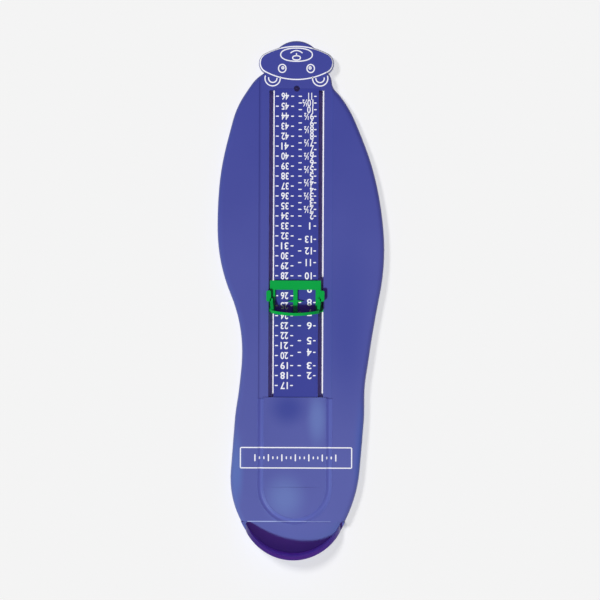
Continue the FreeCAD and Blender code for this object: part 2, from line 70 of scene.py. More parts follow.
def piece(name, points, faces, body, material):
    """A finished piece from its points and faces, riding on a body."""
    mesh = bpy.data.meshes.new(name)
    mesh.from_pydata(np.asarray(points, float).reshape(-1, 3).tolist(), [], faces)
    mesh.validate()
    mesh.update()
    mesh.materials.append(material)
    made = bpy.data.objects.new(name, mesh)
    bpy.context.scene.collection.objects.link(made)
    if body:
        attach(made, body)
    return made


def together(parts):
    """The points and faces of several meshes as those of one."""
    points, faces, count = [], [], 0
    for own, own_faces in parts:
        points.append(own)
        faces += [tuple(k + count for k in face) for face in own_faces]
        count += len(own)
    return np.concatenate(points), faces


def grid_faces(rows, columns, around=False):
    """Faces of a grid: every point joins its right, upper right and upper neighbours. A grid that
    goes around joins its last row to its first."""
    last = rows if around else rows - 1
    i, j = np.meshgrid(np.arange(last), np.arange(columns - 1), indexing="ij")
    k = (i + 1) % rows
    square = [i * columns + j, i * columns + j + 1, k * columns + j + 1, k * columns + j]
    return np.stack(square, axis=-1).reshape(-1, 4).tolist()


def turned_over(faces):
    """The same faces, looking the other way."""
    return [face[::-1] for face in faces]


def corners(mesh):
    """The mesh's points as an array."""
    places = np.empty(len(mesh.vertices) * 3, np.float32)
    mesh.vertices.foreach_get("co", places)
    return places.reshape(-1, 3).astype(float)


def oval(x, y, half_x, half_y, start=0.0, end=360.0, power=2.0, count=181):
    """Part of a superellipse: x and y from the centre are a sgn(c)|c|^(2/power), b sgn(s)|s|^(2/power)."""
    u = np.radians(np.linspace(start, end, count))
    c, s = np.cos(u), np.sin(u)
    return np.stack([x + half_x * np.sign(c) * np.abs(c) ** (2 / power),
                     y + half_y * np.sign(s) * np.abs(s) ** (2 / power)], axis=-1)


def left_of(ahead):
    """Unit vectors to the left of steps ahead: (-dy, dx) over the length of the step."""
    ahead = ahead / np.linalg.norm(ahead, axis=-1, keepdims=True)
    return np.stack([-ahead[..., 1], ahead[..., 0]], axis=-1)


def bow(start, end, rise, count=41):
    """A line from start to end that bows to its left by rise: the chord plus rise times 4 t (1 - t)."""
    start, end = np.array(start, float), np.array(end, float)
    t = np.linspace(0, 1, count)[:, None]
    return start + t * (end - start) + rise * 4 * t * (1 - t) * left_of(end - start)


def walked_along(path):
    """The length walked along a line to each of its points: the running sum of its steps' lengths."""
    return np.concatenate([[0], np.cumsum(np.hypot(*np.diff(path, axis=0).T))])


def evened(path, step, least=4):
    """The same line with points every step along it: x and y as functions of the length walked."""
    path = np.asarray(path, float)
    walked = walked_along(path)
    along = np.linspace(0, walked[-1], max(int(walked[-1] / step), least) + 1)
    return np.stack([np.interp(along, walked, path[:, 0]), np.interp(along, walked, path[:, 1])], axis=-1)


def ribbon(centre, half, across, closed=False):
    """Grid over a band: C(s) + t h(s) n(s), where t runs from -1 to 1, h is the half width and n the
    unit normal to the left of the centreline C."""
    if closed:
        ahead = np.roll(centre, -1, axis=0) - np.roll(centre, 1, axis=0)
    else:
        ahead = np.gradient(centre, axis=0)
    t = np.linspace(-1, 1, across)
    return centre[:, None] + (half[:, None] * t)[:, :, None] * left_of(ahead)[:, None]


def inked_line(path, width, step=0.35, across=5, tip=0.98):
    """A pen stroke along a line, closed if the line's ends meet. At a free end the half width h falls
    as a circle's does over its last half width: h sqrt(1 - t^2), where t rises to just under 1."""
    closed = np.allclose(path[0], path[-1])
    centre = evened(path, step)
    half = np.full(len(centre), width / 2)
    if closed:
        centre, half = centre[:-1], half[:-1]
    else:
        walked = walked_along(centre)
        to_end = np.minimum(walked, walked[-1] - walked)
        half = half * np.sqrt(1 - np.clip(1 - to_end / half, 0, tip) ** 2)
    return ribbon(centre, half, across, closed), closed


def channel_level(t):
    """Level of the groove's soft channel at a share t of its half width: rim - depth cos^2(pi t / 2)."""
    return BED_RIM - BED_DEPTH * np.cos(np.pi * t / 2) ** 2


def bed_level(x, y):
    """Level of the channel under a place, from the place's distance to the U's centreline, a half
    circle with straight legs. It is minus infinity outside the channel."""
    x = np.abs(x - GROOVE_X)
    away = np.abs(np.where(y < BEND_Y, np.hypot(x, y - BEND_Y), x) - GROOVE_RADIUS) / BED_HALF
    return np.where((away < 1) & (y < BED_END), channel_level(away), -np.inf)


def drawn(name, strokes, material, drop_from=0.05):
    """Pen strokes pressed on to the plate, of print or of painted highlight: each point falls straight
    down, from a height in metres, on to its surface or on to the channel in the groove, and the
    stroke then gets the ink's thickness."""
    parts = []
    for flat, closed in strokes:
        points = on_gauge(flat[..., 0], flat[..., 1], drop_from).reshape(-1, 3)
        parts.append((points, turned_over(grid_faces(*flat.shape[:2], closed))))
    made = piece(name, *together(parts), None, material)
    wrap = made.modifiers.new("press", "SHRINKWRAP")
    wrap.wrap_method = "PROJECT"
    wrap.use_project_z = True
    wrap.use_negative_direction = True
    wrap.use_positive_direction = False
    wrap.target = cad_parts["base_plate"]
    bpy.context.view_layer.update()
    pressed = bpy.data.meshes.new_from_object(made.evaluated_get(bpy.context.evaluated_depsgraph_get()))
    made.modifiers.clear()
    places = corners(pressed)
    level = bed_level((places[:, 0] - TRACK_X) / MM, (places[:, 1] - HEEL_STOP_Y) / MM)
    places[:, 2] = np.maximum(places[:, 2], level * MM)
    pressed.vertices.foreach_set("co", places.ravel())
    pressed.update()
    made.data = pressed
    ink = made.modifiers.new("ink", "SOLIDIFY")
    ink.thickness = INK * MM
    ink.offset = 1.0
    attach(made, "plate")
    return made


def swept(sections):
    """A closed bar from its cross-sections: sections is (n, m, 3) in millimetres, m corners each,
    walked clockwise as seen along the bar, and both ends are closed."""
    count, m = sections.shape[:2]
    faces = grid_faces(count, m)
    faces += [(i + m - 1, i, i + m, i + 2 * m - 1) for i in range(0, (count - 1) * m, m)]
    faces += [tuple(range(m))[::-1], tuple(range((count - 1) * m, count * m))]
    x, y, level = sections.reshape(-1, 3).T
    return on_gauge(x, y, level * MM), faces


# ---- Materials -------------------------------------------------------------------------------
CLOUD_LIFT = 8            # how much lighter than the tone the clouds in the plastic get, of 255
SKIN_ROUGHER = 0.08       # how much rougher the skin texture makes the plastic
SKIN_RELIEF = 0.02        # depth of the skin texture
SPECULAR = 0.2            # of the moulded plastics
# Patches of another tone are painted sheen and painted shade on the plate.
PATCH_HEIGHT = 50.0       # how far a patch of another tone reaches up and down
PATCH_CORE = 0.1          # share of a patch that has its full tone


def node(tree, kind, **inputs):
    """A shader node with some of its inputs set: a plain value, or the socket that feeds it."""
    made = tree.nodes.new(kind)
    for name, value in inputs.items():
        socket = made.inputs[int(name[1:])] if name[1:].isdigit() else made.inputs[name.replace("_", " ")]
        if isinstance(value, bpy.types.NodeSocket):
            tree.links.new(value, socket)
        else:
            socket.default_value = value
    return made


def linear(red, green, blue):
    """A colour given as it is seen, 0 to 255, as the light that a surface sends back."""
    seen = np.array([red, green, blue]) / 255
    light = np.where(seen <= 0.04045, seen / 12.92, ((seen + 0.055) / 1.055) ** 2.4)
    return (*light.tolist(), 1.0)


def mixed(tree, factor, low, high):
    """A colour between two others: each is a plain colour or the socket that feeds it."""
    made = tree.nodes.new("ShaderNodeMix")
    made.data_type = "RGBA"
    tree.links.new(factor, made.inputs["Factor"])
    for socket, colour in ((made.inputs[6], low), (made.inputs[7], high)):
        if isinstance(colour, bpy.types.NodeSocket):
            tree.links.new(colour, socket)
        else:
            socket.default_value = colour
    return made.outputs[2]


def along_gauge(tree, place, tones):
    """A colour that changes smoothly from the heel to the toes: tones are (y in mm, colour)."""
    y = node(tree, "ShaderNodeSeparateXYZ", Vector=place).outputs["Y"]
    first, last = tones[0][0], tones[-1][0]
    share = node(tree, "ShaderNodeMapRange", Value=y, From_Min=HEEL_STOP_Y + first * MM,
                 From_Max=HEEL_STOP_Y + last * MM)
    ramp = node(tree, "ShaderNodeValToRGB", Fac=share.outputs["Result"])
    ramp.color_ramp.interpolation = "B_SPLINE"
    marks = ramp.color_ramp.elements
    for k, (y_mm, colour) in enumerate(tones):
        at = (y_mm - first) / (last - first)
        mark = marks[0] if k == 0 else marks[1] if k == len(tones) - 1 else marks.new(at)
        mark.position, mark.color = at, colour
    return ramp.outputs["Color"]


def patched(tree, place, colour, patches):
    """The colour with soft oval patches of painted sheen or painted shade: each is (x, y, half width a,
    half length b, tone), and its share falls smoothly to nothing where the length of
    (dx / a, dy / b, dz / height) reaches 1."""
    for x, y, half_x, half_y, tone in patches:
        shift = node(tree, "ShaderNodeVectorMath", i0=place, i1=on_gauge(x, y, STRIP_TOP).tolist())
        shift.operation = "SUBTRACT"
        scaled = node(tree, "ShaderNodeVectorMath", i0=shift.outputs[0],
                      i1=[1 / (half * MM) for half in (half_x, half_y, PATCH_HEIGHT)])
        scaled.operation = "MULTIPLY"
        reach = node(tree, "ShaderNodeVectorMath", i0=scaled.outputs[0])
        reach.operation = "LENGTH"
        share = node(tree, "ShaderNodeMapRange", Value=reach.outputs["Value"],
                     From_Min=1.0, From_Max=PATCH_CORE)
        share.interpolation_type = "SMOOTHSTEP"
        colour = mixed(tree, share.outputs["Result"], colour, linear(*tone))
    return colour


def moulded(name, tones, cloud, rough, grain, bump, patches=()):
    """Moulded plastic: tones that follow the length, which on the blue parts are partly their own tone
    and partly painted sheen, lighter towards the heel; each lightened a little in clouds of some
    millimetres, soft patches of painted sheen and painted shade over them, and a fine skin texture
    of grain millimetres in its roughness and its relief."""
    made = bpy.data.materials.new(name)
    made.use_nodes = True
    tree = made.node_tree
    shader = tree.nodes["Principled BSDF"]
    place = node(tree, "ShaderNodeTexCoord").outputs["Object"]
    drift = node(tree, "ShaderNodeTexNoise", Vector=place, Scale=1 / (cloud * MM), Detail=2.0)
    skin = node(tree, "ShaderNodeTexNoise", Vector=place, Scale=1 / (grain * MM), Detail=3.0, Roughness=0.6)
    low = along_gauge(tree, place, [(y, linear(*tone)) for y, tone in tones])
    high = along_gauge(tree, place, [(y, linear(*(np.array(tone) + CLOUD_LIFT))) for y, tone in tones])
    colour = patched(tree, place, mixed(tree, drift.outputs["Fac"], low, high), patches)
    rough_map = node(tree, "ShaderNodeMapRange", Value=skin.outputs["Fac"],
                     To_Min=rough, To_Max=rough + SKIN_ROUGHER)
    relief = node(tree, "ShaderNodeBump", Height=skin.outputs["Fac"], Strength=bump,
                  Distance=SKIN_RELIEF * MM)
    tree.links.new(colour, shader.inputs["Base Color"])
    tree.links.new(rough_map.outputs["Result"], shader.inputs["Roughness"])
    tree.links.new(relief.outputs["Normal"], shader.inputs["Normal"])
    shader.inputs["Specular IOR Level"].default_value = SPECULAR
    return made


def one_tone(*tone):
    """The same tone from end to end."""
    return [(HEEL_END, tone), (TOE_END, tone)]


# Along the plate the tone is partly the blue plastic's own and partly painted sheen, which makes it lighter
# towards the heel.
PLATE_TONES_AND_SHEEN = [(HEEL_END, (96, 104, 172)), (40, (91, 99, 172)), (105, (66, 76, 161)),
               (190, (57, 65, 150)), (TOE_END, (44, 51, 140))]
# Painted light on the plate: three lighter patches are painted sheen and a painted highlight along the left
# edge; three darker ones are painted shade, on the right side, along the right edge and near the toe end of
# the raised island.
PLATE_SHEEN_AND_SHADE = [(14.5, 90.0, 9.0, 24.0, (102, 119, 183)), (-7.0, 37.0, 18.0, 21.0, (104, 121, 184)),
                 (-39.0, 55.0, 6.0, 34.0, (92, 113, 182)), (-5.0, 97.0, 17.0, 16.0, (66, 76, 154)),
                 (34.0, 155.0, 26.0, 80.0, (70, 79, 157)), (45.5, 62.0, 8.0, 55.0, (72, 97, 176))]
# The groove's channel is painted lighter than the plate, and lighter towards the heel: painted sheen over
# its own blue.
GROOVE_TONES_AND_SHEEN = [(HEEL_END, (92, 101, 174)), (104, (78, 86, 166))]
STRIP_TONES = [(95, (58, 66, 148)), (320, (51, 59, 144))]
plate_blue = moulded("plate_blue_gloss", PLATE_TONES_AND_SHEEN, cloud=45.0, rough=0.32, grain=0.7, bump=0.2,
                     patches=PLATE_SHEEN_AND_SHADE)
groove_blue = moulded("groove_blue_gloss", GROOVE_TONES_AND_SHEEN, cloud=30.0, rough=0.32, grain=0.7, bump=0.2)
strip_blue = moulded("strip_blue_satin", STRIP_TONES, cloud=30.0, rough=0.38, grain=0.5, bump=0.25)
slider_green = moulded("slider_green_gloss", one_tone(0, 158, 65), cloud=25.0, rough=0.26, grain=0.6,
                       bump=0.12)
print_white = moulded("print_white", one_tone(240, 240, 247), cloud=12.0, rough=0.5, grain=0.4, bump=0.2)
FINISHES = {"base_plate": plate_blue, "heel_cup": plate_blue, "scale_strip": strip_blue,
            "toe_slider": slider_green, "slider_keeper": slider_green}
for node_name, finish in FINISHES.items():
    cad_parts[node_name].data.materials.clear()
    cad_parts[node_name].data.materials.append(finish)

# ---- Numbers and dashes ----------------------------------------------------------------------
EU_SIZES = np.arange(17, 47)
EU_TOP_SIZE, EU_TOP_Y = 46, 305.6
PARIS_POINT = 20 / 3                      # one European size
UK_CHILD = [(2, 18), (3, 19), (4, 20 + 1 / 3), (5, 21.5), (6, 23), (7, 24 + 1 / 3), (8, 25 + 1 / 3),
            (9, 26 + 2 / 3), (10, 28), (11, 29 + 1 / 3), (12, 30.5), (13, 31 + 2 / 3), (1, 33)]
UK_ADULT_FIRST, UK_ADULT_LAST = 2, 11
UK_ADULT_FIRST_EU = 34.0
EU_PER_UK = 12 / 9                        # adult 2 to 11 takes up twelve European sizes
UK_ADULT_STEPS = range(2 * (UK_ADULT_LAST - UK_ADULT_FIRST) + 1)      # by halves

DIGIT_HEIGHT = 4.77
LETTER_SWELL, LETTER_DEPTH, LETTER_WELD = 0.018, 0.01, 1e-5     # in the font's own units
EU_X, EU_WIDTH = -7.7, 5.0
CHILD_X, CHILD_WIDTH = {1: 8.98, 2: 8.16}, {1: 3.2, 2: 4.7}     # by how many digits the number has
ADULT_X, ADULT_WIDTH = {1: (10.2, 10.2), 2: (8.95, 9.1)}, {1: 2.5, 2: 4.0}      # x of whole and half sizes
CHILD_NARROW, ADULT_NARROW = {1: 0.9, 11: 3.6}, {11: 2.6}       # widths of numbers of narrow digits
HALF_X, HALF_WIDTH = {1: 6.6, 2: 5.4}, 3.2                      # of the half sign beside the number
TICK_THICK = 0.75
EU_TICKS, UK_TICKS = ((-12.95, 2.1), (-2.77, 2.0)), ((2.36, 2.3), (12.4, 1.8))      # x and length


def label(text, x, y, width):
    """A printed number, read from the toe end: its letters scaled to a width and the digits' height,
    turned half round, centred on x and y, and raised by the ink."""
    curve = bpy.data.curves.new("number", "FONT")
    curve.body = text
    curve.offset = LETTER_SWELL
    curve.extrude = LETTER_DEPTH
    writing = bpy.data.objects.new("number", curve)
    mesh = bpy.data.meshes.new_from_object(writing)
    letters = bmesh.new()
    letters.from_mesh(mesh)
    bmesh.ops.remove_doubles(letters, verts=letters.verts, dist=LETTER_WELD)
    bmesh.ops.recalc_face_normals(letters, faces=letters.faces)
    letters.to_mesh(mesh)
    letters.free()
    points = corners(mesh)
    faces = [tuple(face.vertices) for face in mesh.polygons]
    bpy.data.objects.remove(writing)
    bpy.data.curves.remove(curve)
    bpy.data.meshes.remove(mesh)
    low, high = points.min(axis=0), points.max(axis=0)
    unit = (points - (low + high) / 2) / (high - low)
    level = STRIP_TOP + (0.5 + unit[:, 2]) * INK * MM
    return on_gauge(x - unit[:, 0] * width, y - unit[:, 1] * DIGIT_HEIGHT, level), faces


def eu_y(size):
    """Distance of a European size from the heel stop."""
    return EU_TOP_Y - (EU_TOP_SIZE - size) * PARIS_POINT


def uk_adult_y(step):
    """Distance of a British adult size from the heel stop, in half sizes after the first."""
    return eu_y(UK_ADULT_FIRST_EU + step / 2 * EU_PER_UK)


def uk_labels():
    """British sizes: child sizes, then adult sizes by halves, each as text, place and width."""
    made = []
    for size, eu in UK_CHILD:
        digits = len(str(size))
        made.append((str(size), CHILD_X[digits], eu_y(eu), CHILD_NARROW.get(size, CHILD_WIDTH[digits])))
    for step in UK_ADULT_STEPS:
        size, half = UK_ADULT_FIRST + step // 2, step % 2
        digits, y = len(str(size)), uk_adult_y(step)
        made.append((str(size), ADULT_X[digits][half], y, ADULT_NARROW.get(size, ADULT_WIDTH[digits])))
        if half:
            made.append(("½", HALF_X[digits], y, HALF_WIDTH))
    return made


def dash(x, y, length, around=20):
    """A printed dash with rounded ends, as the two cross-sections of a low upright bar: a superellipse
    of power four on the strip, and the same one raised by the ink."""
    outline = oval(x, y, length / 2, TICK_THICK / 2, power=4.0, count=around + 1)[:-1]
    levels = [np.full(len(outline), STRIP_TOP / MM + rise) for rise in (0.0, INK)]
    return np.stack([np.column_stack([outline, level]) for level in levels])


uk_rows = [eu_y(eu) for _, eu in UK_CHILD] + [uk_adult_y(step) for step in UK_ADULT_STEPS]
dashes = [dash(x, eu_y(size), length) for x, length in EU_TICKS for size in EU_SIZES]
dashes += [dash(x, y, length) for x, length in UK_TICKS for y in uk_rows]
eu_numbers = together([label(str(size), EU_X, eu_y(size), EU_WIDTH) for size in EU_SIZES])
uk_numbers = together([label(*entry) for entry in uk_labels()])
piece("eu_numbers", *eu_numbers, "plate", print_white)
piece("uk_numbers", *uk_numbers, "plate", print_white)
piece("size_ticks", *together([swept(sections) for sections in dashes]), "plate", print_white)

# ---- Line work on the plate ------------------------------------------------------------------
LINE, MARK_LINE = 0.75, 0.85              # widths of the pen strokes
BOX_X, BOX_Y, BOX_MIDDLE = (-36.7, 37.6), (57.2, 70.8), 64.0
MARK_X = np.linspace(-27, 27, 19)
MARK_REACH = [2.4, 1.0, 1.0] * 6 + [2.4]  # half lengths: every third dash in the box is a long one
# The seam line is a painted highlight: a pale line along the heel cup's joint, where its edge would catch
# the light, with strokes that grow thinner towards the right as the glint fades.
SEAM_Y = 21.5
SEAM_HIGHLIGHT_STROKES = ((-32.0, -12.0, 0.5), (-12.5, 8.0, 0.3), (7.5, 24.0, 0.13))      # x from and to, and width
HEAD_X, HEAD_Y = -0.3, 327.9
HEAD_HALF_WIDTH, HEAD_HALF_LENGTH = 25.1, 11.9
HEAD_END_RADIUS = 7.5
BORDER_INSET = 0.85                       # middle of the border line, inside the head's edge


def head_oval(inset):
    """Four-centred oval round the head, brought in by inset: each arc is c + r (cos u, sin u)."""
    a, b = HEAD_HALF_WIDTH - HEAD_END_RADIUS, HEAD_HALF_LENGTH
    flat = (a**2 + b**2 - HEAD_END_RADIUS**2) / (2 * (b - HEAD_END_RADIUS))
    turn = math.degrees(math.atan2(flat - b, a))
    arcs = [(a, 0, HEAD_END_RADIUS, -turn, turn), (0, b - flat, flat, turn, 180 - turn),
            (-a, 0, HEAD_END_RADIUS, 180 - turn, 180 + turn), (0, flat - b, flat, 180 + turn, 360 - turn)]
    parts = [oval(HEAD_X + x, HEAD_Y + y, r - inset, r - inset, start, end) for x, y, r, start, end in arcs]
    return np.concatenate(parts)


def both_sides(paths):
    """Some lines, and then the same lines on the other side of the head's middle: x becomes 2 m - x."""
    return paths + [path * [-1, 1] + [2 * HEAD_X, 0] for path in paths]


box_path = [(BOX_X[i], BOX_Y[j]) for i, j in ((0, 0), (1, 0), (1, 1), (0, 1), (0, 0))]
drawn("heel_box_line", [inked_line([a, b], LINE) for a, b in zip(box_path, box_path[1:])], print_white)
rule_marks = [bow((x, BOX_MIDDLE - reach), (x, BOX_MIDDLE + reach), 0.0, 9)
              for x, reach in zip(MARK_X, MARK_REACH)]
drawn("heel_box_marks", [inked_line(path, MARK_LINE) for path in rule_marks], print_white)

# Painted highlight along the seam, in a pale blue.
seam_highlight_paint = moulded("seam_painted_highlight", one_tone(170, 186, 228), cloud=12.0, rough=0.4, grain=0.4, bump=0.2)
seam_edge = [inked_line([(start, SEAM_Y), (end, SEAM_Y)], width) for start, end, width in SEAM_HIGHLIGHT_STROKES]
drawn("seam_edge", seam_edge, seam_highlight_paint)

drawn("head_border", [inked_line(head_oval(BORDER_INSET), LINE)], print_white)
ear, inner_ear = oval(15.6, 317.6, 5.1, 5.1, 165, 382), oval(15.5, 317.6, 2.8, 2.8, 172, 376)
drawn("ear_lines", [inked_line(path, LINE) for path in both_sides([ear, inner_ear])], print_white)
snout, nose = oval(-0.3, 333.4, 10.6, 4.4, power=2.2), oval(-0.3, 331.3, 2.6, 1.4, power=2.3)
lip, mouth = bow((-0.3, 332.7), (-0.3, 334.6), 0.0), bow((-4.4, 334.4), (3.8, 334.4), 1.8)
eye, pupil = oval(9.2, 324.2, 2.5, 2.7), oval(8.8, 324.6, 0.7, 0.8)
face_paths = [snout, nose, lip, mouth] + both_sides([eye, pupil])
drawn("face_lines", [inked_line(path, LINE) for path in face_paths], print_white)

# ---- Slider ----------------------------------------------------------------------------------
SLIDER_X, INDEX_Y = -0.4, 168.6           # middle of the slider, and the line that its pointers show
FRAME_LOW, FRAME_TOP = 6.35, 8.35
GAP = 0.15                                # between the plate and what slides on it
BAR_Y, GRIP_Y, CORNER_Y = INDEX_Y + 7.7, INDEX_Y - 0.2, INDEX_Y - 7.94
FRAME_HALF, CORNER_HALF = 17, 16          # half widths over the frame's rails and over its near corners
BAR_DEPTH = 6.1                           # of the bar across the frame's toe end
RIB_HALF, RIB_Y, RIB_RAISED = 1.4, INDEX_Y - 8.7, 0.8
POINTER_X = np.array([-5.3, 0.0, 5.3])    # stations of the pointers' flat diamond, and its two sides
POINTER_FAR, POINTER_NEAR = INDEX_Y + np.array([0.0, 1.0, 0.0]), INDEX_Y - np.array([0.02, 1.0, 0.02])
POINTER_LOW, POINTER_TOP = FRAME_LOW + 0.1, FRAME_TOP - 0.08
STOP_Y, STOP_HALF = INDEX_Y - 9.65, 16.0
STOP_FACE, STOP_BACK = 75.0, 73.1         # radii of the face that the toes touch and of the back
STOP_FOOT, STOP_RISE, STOP_SPAN = 6.2, 17.5, 19.4
GRIP_X, GRIP_HALF, GRIP_ROUND = 17.75, 1.55, 1.1
GRIP_RUN, GRIP_TOP = 6.2, 12.4            # from the grip's near end to its far corners, and its top
CHEEK_LENGTH, CHEEK_TOPS = 2, (16.1, GRIP_TOP, GRIP_TOP)
RAIL_IN = ((13.5, CORNER_Y), (13.5, GRIP_Y), (13.5, BAR_Y))     # sides of the right-hand rail in plan
RAIL_OUT = ((CORNER_HALF, CORNER_Y), (FRAME_HALF, GRIP_Y), (FRAME_HALF, BAR_Y))
CHEEK_IN = ((14, CORNER_Y), (15, GRIP_Y), (15, GRIP_Y + CHEEK_LENGTH))
CHEEK_OUT = ((CORNER_HALF, CORNER_Y), (FRAME_HALF, GRIP_Y), (FRAME_HALF, GRIP_Y + CHEEK_LENGTH))
SLOT_X, LEG_HALF, LEG_Y = 16.1, 0.9, (161.5, 172.4)
LEG_LOW, LEG_TOP = 3.0, FRAME_LOW + 0.4
SLIDER_EDGE = 0.25                        # width of the eased edges


def boxed(left, right, low, top):
    """Cross-sections of an upright bar whose sides run along two lines in plan, left and right of
    the way it runs, between a low and a top level, each a number or one per station."""
    left, right = np.asarray(left, float), np.asarray(right, float)
    low, top = (np.broadcast_to(level, len(left)) for level in (low, top))
    corner = [np.column_stack([line, level]) for line, level in
              ((left, low), (left, top), (right, top), (right, low))]
    return np.stack(corner, axis=1)


def straight_bar(x0, x1, y, low, top):
    """Cross-sections of a straight upright bar from one y to another."""
    return boxed([(x0, y[0]), (x0, y[1])], [(x1, y[0]), (x1, y[1])], low, top)


def stop_bar(stations=49):
    """Wall bowed on a circle of radius R, y = c - sqrt(R^2 - x^2) for its face and its back, under an
    arch at the level foot + rise sqrt(1 - (x / span)^2)."""
    x = np.linspace(-STOP_HALF, STOP_HALF, stations)
    centre = STOP_Y + STOP_FACE
    face = np.column_stack([x, centre - np.sqrt(STOP_FACE**2 - x**2)])
    back = np.column_stack([x, centre - np.sqrt(STOP_BACK**2 - x**2)])
    return boxed(back, face, PLATE_TOP + GAP, STOP_FOOT + STOP_RISE * np.sqrt(1 - (x / STOP_SPAN) ** 2))


def grip_bar(side, stations=7):
    """Finger grip, a straight bar with its four corners rounded on quarter circles."""
    u = np.linspace(0, np.pi / 2, stations)
    y = np.concatenate([GRIP_Y + GRIP_ROUND - GRIP_ROUND * np.cos(u),
                        GRIP_Y + GRIP_RUN + GRIP_ROUND * np.sin(u)])
    bulge = GRIP_ROUND * np.concatenate([1 - np.sin(u), 1 - np.cos(u)])
    left = np.column_stack([side * GRIP_X - GRIP_HALF + bulge, y])
    right = np.column_stack([side * GRIP_X + GRIP_HALF - bulge, y])
    return boxed(left, right, FRAME_LOW, GRIP_TOP)


def slider_bars():
    """Frame, centre rib, pointers, stop, cheeks, grips and legs of the slider."""
    bars = [straight_bar(-FRAME_HALF, FRAME_HALF, (BAR_Y, BAR_Y + BAR_DEPTH), FRAME_LOW, FRAME_TOP),
            straight_bar(-RIB_HALF, RIB_HALF, (RIB_Y, BAR_Y), FRAME_LOW + RIB_RAISED, FRAME_TOP),
            boxed(np.column_stack([POINTER_X, POINTER_FAR]), np.column_stack([POINTER_X, POINTER_NEAR]),
                  POINTER_LOW, POINTER_TOP),
            stop_bar(), grip_bar(-1), grip_bar(1)]
    for side in (-1, 1):
        for inside, outside, top in ((RAIL_IN, RAIL_OUT, FRAME_TOP), (CHEEK_IN, CHEEK_OUT, CHEEK_TOPS)):
            near, far = np.array(inside) * [side, 1], np.array(outside) * [side, 1]
            left, right = (far, near) if side < 0 else (near, far)
            bars.append(boxed(left, right, PLATE_TOP + GAP, top))
        leg = side * SLOT_X - SLIDER_X
        bars.append(straight_bar(leg - LEG_HALF, leg + LEG_HALF, LEG_Y, LEG_LOW, LEG_TOP))
    for bar in bars:
        bar[..., 0] += SLIDER_X
    return bars


slider_mesh = together([swept(sections) for sections in slider_bars()])
slider_look = piece("slider_moulding", *slider_mesh, "slider", slider_green)
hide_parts("toe_slider")
edge = slider_look.modifiers.new("edge", "BEVEL")
edge.width = SLIDER_EDGE * MM
edge.segments = 2
edge.limit_method = "ANGLE"

# ---- Soft channel and heel wall --------------------------------------------------------------
WALL_X, WALL_RADIUS = -1.3, 35.2          # middle of the heel wall, and radius of its inner face
SKIN_OUTER, SKIN_INNER = 37.22, 34.74     # radii between which its skin lies
SKIN_HALF, SKIN_FOOT = 31.4, 7.04         # half width in x, and level of the inner side's lower edge
ARCH_FOOT, ARCH_RISE, ARCH_SPAN = 7.08, 18.8, 31.7
SHEET = 0.02                              # thickness of the two sheets


def groove_bed(step=1.0, across=25):
    """Soft channel laid in the U-shaped groove: a band at channel_level across its width, along a half
    circle with straight legs."""
    u = np.radians(np.linspace(180, 360, 61))
    bend = np.column_stack([GROOVE_RADIUS * np.cos(u), BEND_Y + GROOVE_RADIUS * np.sin(u)])
    line = np.concatenate([[(-GROOVE_RADIUS, BED_END)], bend, [(GROOVE_RADIUS, BED_END)]]) + [GROOVE_X, 0.0]
    line = evened(line, step)
    flat = ribbon(line, np.full(len(line), BED_HALF), across)
    level = channel_level(np.linspace(-1, 1, across))
    points = on_gauge(flat[..., 0], flat[..., 1], level * MM)
    return points, turned_over(grid_faces(*flat.shape[:2]))


def heel_rim(stations=115, arcs=11):
    """Skin over the top and the inner face of the heel wall, up to 0.46 mm proud of it. Its rows are
    arcs y = R - sqrt(r^2 - x^2), with r from the outer to the inner radius, at the level of the wall's
    arch, foot + rise sqrt(1 - (x / span)^2). The last row has the inner radius at the skin's foot."""
    x = SKIN_HALF * np.sin(np.linspace(-np.pi / 2, np.pi / 2, stations))[:, None]
    radii = np.append(np.linspace(SKIN_OUTER, SKIN_INNER, arcs), SKIN_INNER)
    level = np.repeat(ARCH_FOOT + ARCH_RISE * np.sqrt(1 - (x / ARCH_SPAN) ** 2), len(radii), axis=1)
    level[:, -1] = SKIN_FOOT
    points = on_gauge(x + WALL_X, WALL_RADIUS - np.sqrt(radii**2 - x**2), level * MM)
    return points, turned_over(grid_faces(*level.shape))


bed = piece("groove_bed", *groove_bed(), "plate", groove_blue)
rim = piece("heel_rim", *heel_rim(), "plate", plate_blue)
bed.data.shade_smooth()
for sheet in (bed, rim):
    thick = sheet.modifiers.new("thick", "SOLIDIFY")
    thick.thickness = SHEET * MM
    thick.offset = -1.0

# ---- Studio ----------------------------------------------------------------------------------
FLOOR_HALF, FLOOR_LEVEL = 1.6, -0.00005   # in metres, as all of the studio's levels
FLOOR_LIGHT = 0.905                       # tone of the paper, and of the background
AMBIENT = 0.03                            # strength of the light from all around
FILL = np.array([0.38, 0.12, 0.32])       # light that the bare plastic gets from the four sides
WHITE = np.ones(3)
FLOOR_SLANT = 0.24                        # light that each of the two slanting lamps gives the floor


def flat_stage(name, x0, x1, y0, y1, z, material):
    """A level sheet of the studio, which isn't part of the gauge."""
    made = piece(name, [(x0, y0, z), (x1, y0, z), (x1, y1, z), (x0, y1, z)], [(0, 1, 2, 3)], None, material)
    return made


def studio_paper(name):
    """Matt pale paper of one tone."""
    made = bpy.data.materials.new(name)
    made.use_nodes = True
    shader = made.node_tree.nodes["Principled BSDF"]
    shader.inputs["Base Color"].default_value = (FLOOR_LIGHT, FLOOR_LIGHT, FLOOR_LIGHT, 1.0)
    shader.inputs["Roughness"].default_value = 0.9
    shader.inputs["Specular IOR Level"].default_value = 0.0
    return made


def under_gauge(name, half_x, y, z):
    """Paper on the floor below an opening of the plate, which the lamps light apart from the floor."""
    (x0, y0, _), (x1, y1, _) = on_gauge([-half_x, half_x], y, 0.0).tolist()
    return flat_stage(name, x0, x1, y0, y1, z, studio_paper(name + "_paper"))


